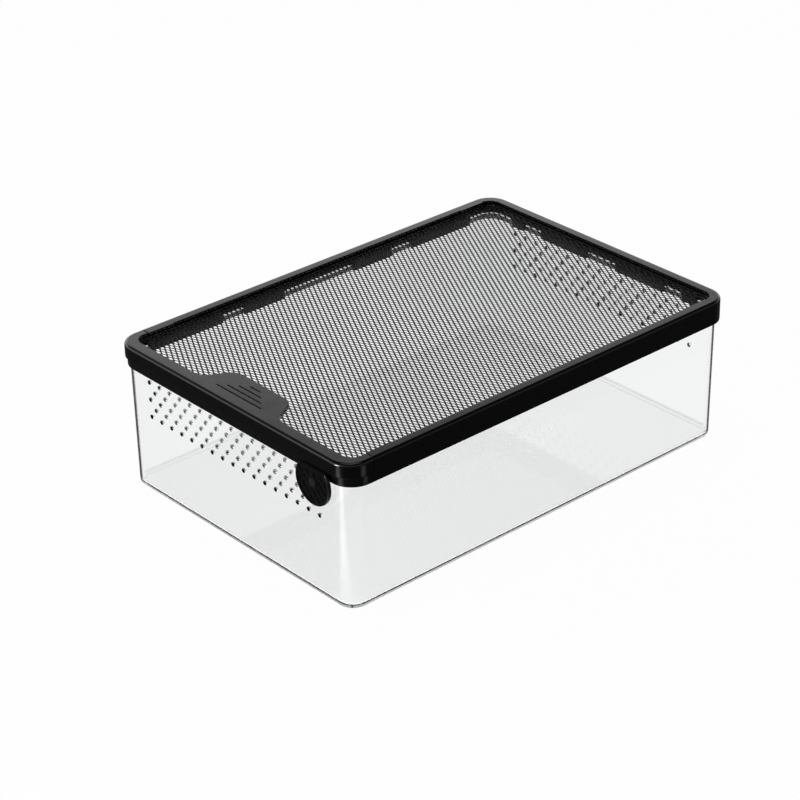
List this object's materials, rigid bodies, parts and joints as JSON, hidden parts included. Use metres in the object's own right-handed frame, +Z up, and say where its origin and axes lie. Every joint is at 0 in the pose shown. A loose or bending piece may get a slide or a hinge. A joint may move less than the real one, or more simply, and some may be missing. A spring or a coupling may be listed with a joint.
{
  "type": "pet keeper",
  "caption": "Clear plastic pet keeper: vented tub with a black clip-on rim, a sliding diamond-mesh lid with a pull tab, and a round turn lock.",
  "frame": {"origin": "middle of the flat underside that the tub rests on", "axes": "+Z up, X along the length with the lid's front bar, pull tab and lock at -X, Y across the width"},
  "size_m": [0.3224, 0.22, 0.1],
  "materials": {
    "clear_plastic": "clear, polished",
    "rim_plastic": "satin black",
    "lid_plastic": "satin black",
    "mesh_metal": "black coated",
    "lock_plastic": "satin black",
    "pin_plastic": "smooth black"
  },
  "bodies": {
    "base": {"tub": "clear_plastic", "rim_frame": "rim_plastic"},
    "lid": {"lid_frame": "lid_plastic", "mesh": "mesh_metal", "mesh_retainer": "lid_plastic"},
    "lock": {"lock_disc": "lock_plastic", "lock_pin": "pin_plastic", "lock_washer": "pin_plastic"}
  },
  "joints": [
    {"name": "lid_slide", "type": "slide", "parent": "base", "child": "lid", "axis": [-1, 0, 0], "range_m": [0, 0.33]},
    {"name": "lock_turn", "type": "hinge", "parent": "base", "child": "lock", "pos_m": [-0.1604, -0.0814, 0.08085], "axis": [1, 0, 0], "continuous": true}
  ]
}
